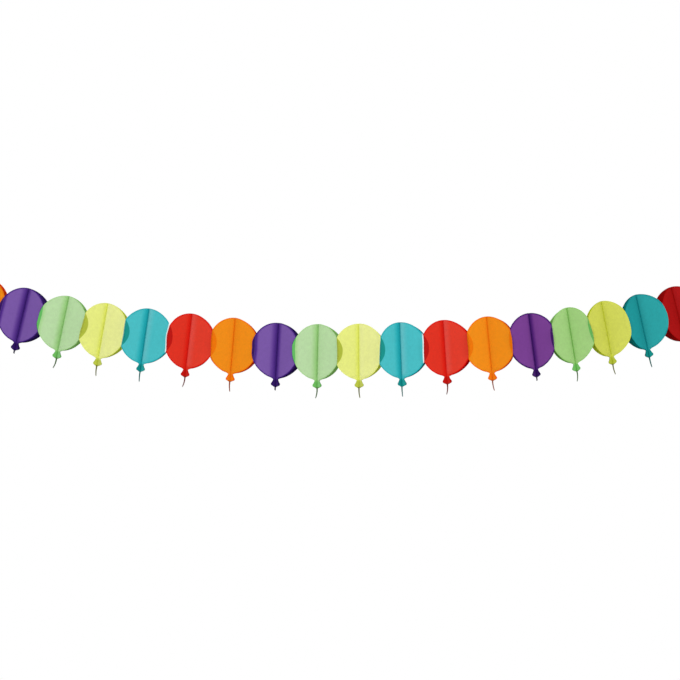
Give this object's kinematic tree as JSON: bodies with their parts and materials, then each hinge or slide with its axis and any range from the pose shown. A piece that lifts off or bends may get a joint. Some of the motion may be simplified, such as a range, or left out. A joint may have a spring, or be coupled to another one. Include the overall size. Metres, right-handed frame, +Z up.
{
  "type": "paper balloon garland",
  "caption": "Hanging party garland of die-cut tissue balloons: folded two-sheet balloons in repeating colours, glued edge to edge, each with a neck, knot and short string.",
  "frame": {"origin": "top of the first balloon's glued middle line, where the left end is hung", "axes": "+X along the garland to its right end, -Y towards the viewer, +Z up"},
  "size_m": [1.7249, 0.1458, 0.2793],
  "materials": {
    "orange_tissue": "dyed thin tissue paper, matt and translucent",
    "purple_tissue": "dyed thin tissue paper, matt and translucent",
    "green_tissue": "dyed thin tissue paper, matt and translucent",
    "yellow_tissue": "dyed thin tissue paper, matt and translucent",
    "teal_tissue": "dyed thin tissue paper, matt and translucent",
    "red_tissue": "dyed thin tissue paper, matt and translucent"
  },
  "bodies": {
    "root": {"balloon_01_orange_left": "orange_tissue", "balloon_01_orange_right": "orange_tissue", "balloon_02_purple_left": "purple_tissue", "balloon_02_purple_right": "purple_tissue", "balloon_03_green_left": "green_tissue", "balloon_03_green_right": "green_tissue", "balloon_04_yellow_left": "yellow_tissue", "balloon_04_yellow_right": "yellow_tissue", "balloon_05_teal_left": "teal_tissue", "balloon_05_teal_right": "teal_tissue", "balloon_06_red_left": "red_tissue", "balloon_06_red_right": "red_tissue", "balloon_07_orange_left": "orange_tissue", "balloon_07_orange_right": "orange_tissue", "balloon_08_purple_left": "purple_tissue", "balloon_08_purple_right": "purple_tissue", "balloon_09_green_left": "green_tissue", "balloon_09_green_right": "green_tissue", "balloon_10_yellow_left": "yellow_tissue", "balloon_10_yellow_right": "yellow_tissue", "balloon_11_teal_left": "teal_tissue", "balloon_11_teal_right": "teal_tissue", "balloon_12_red_left": "red_tissue", "balloon_12_red_right": "red_tissue", "balloon_13_orange_left": "orange_tissue", "balloon_13_orange_right": "orange_tissue", "balloon_14_purple_left": "purple_tissue", "balloon_14_purple_right": "purple_tissue", "balloon_15_green_left": "green_tissue", "balloon_15_green_right": "green_tissue", "balloon_16_yellow_left": "yellow_tissue", "balloon_16_yellow_right": "yellow_tissue", "balloon_17_teal_left": "teal_tissue", "balloon_17_teal_right": "teal_tissue", "balloon_18_red_left": "red_tissue", "balloon_18_red_right": "red_tissue"}
  },
  "joints": []
}
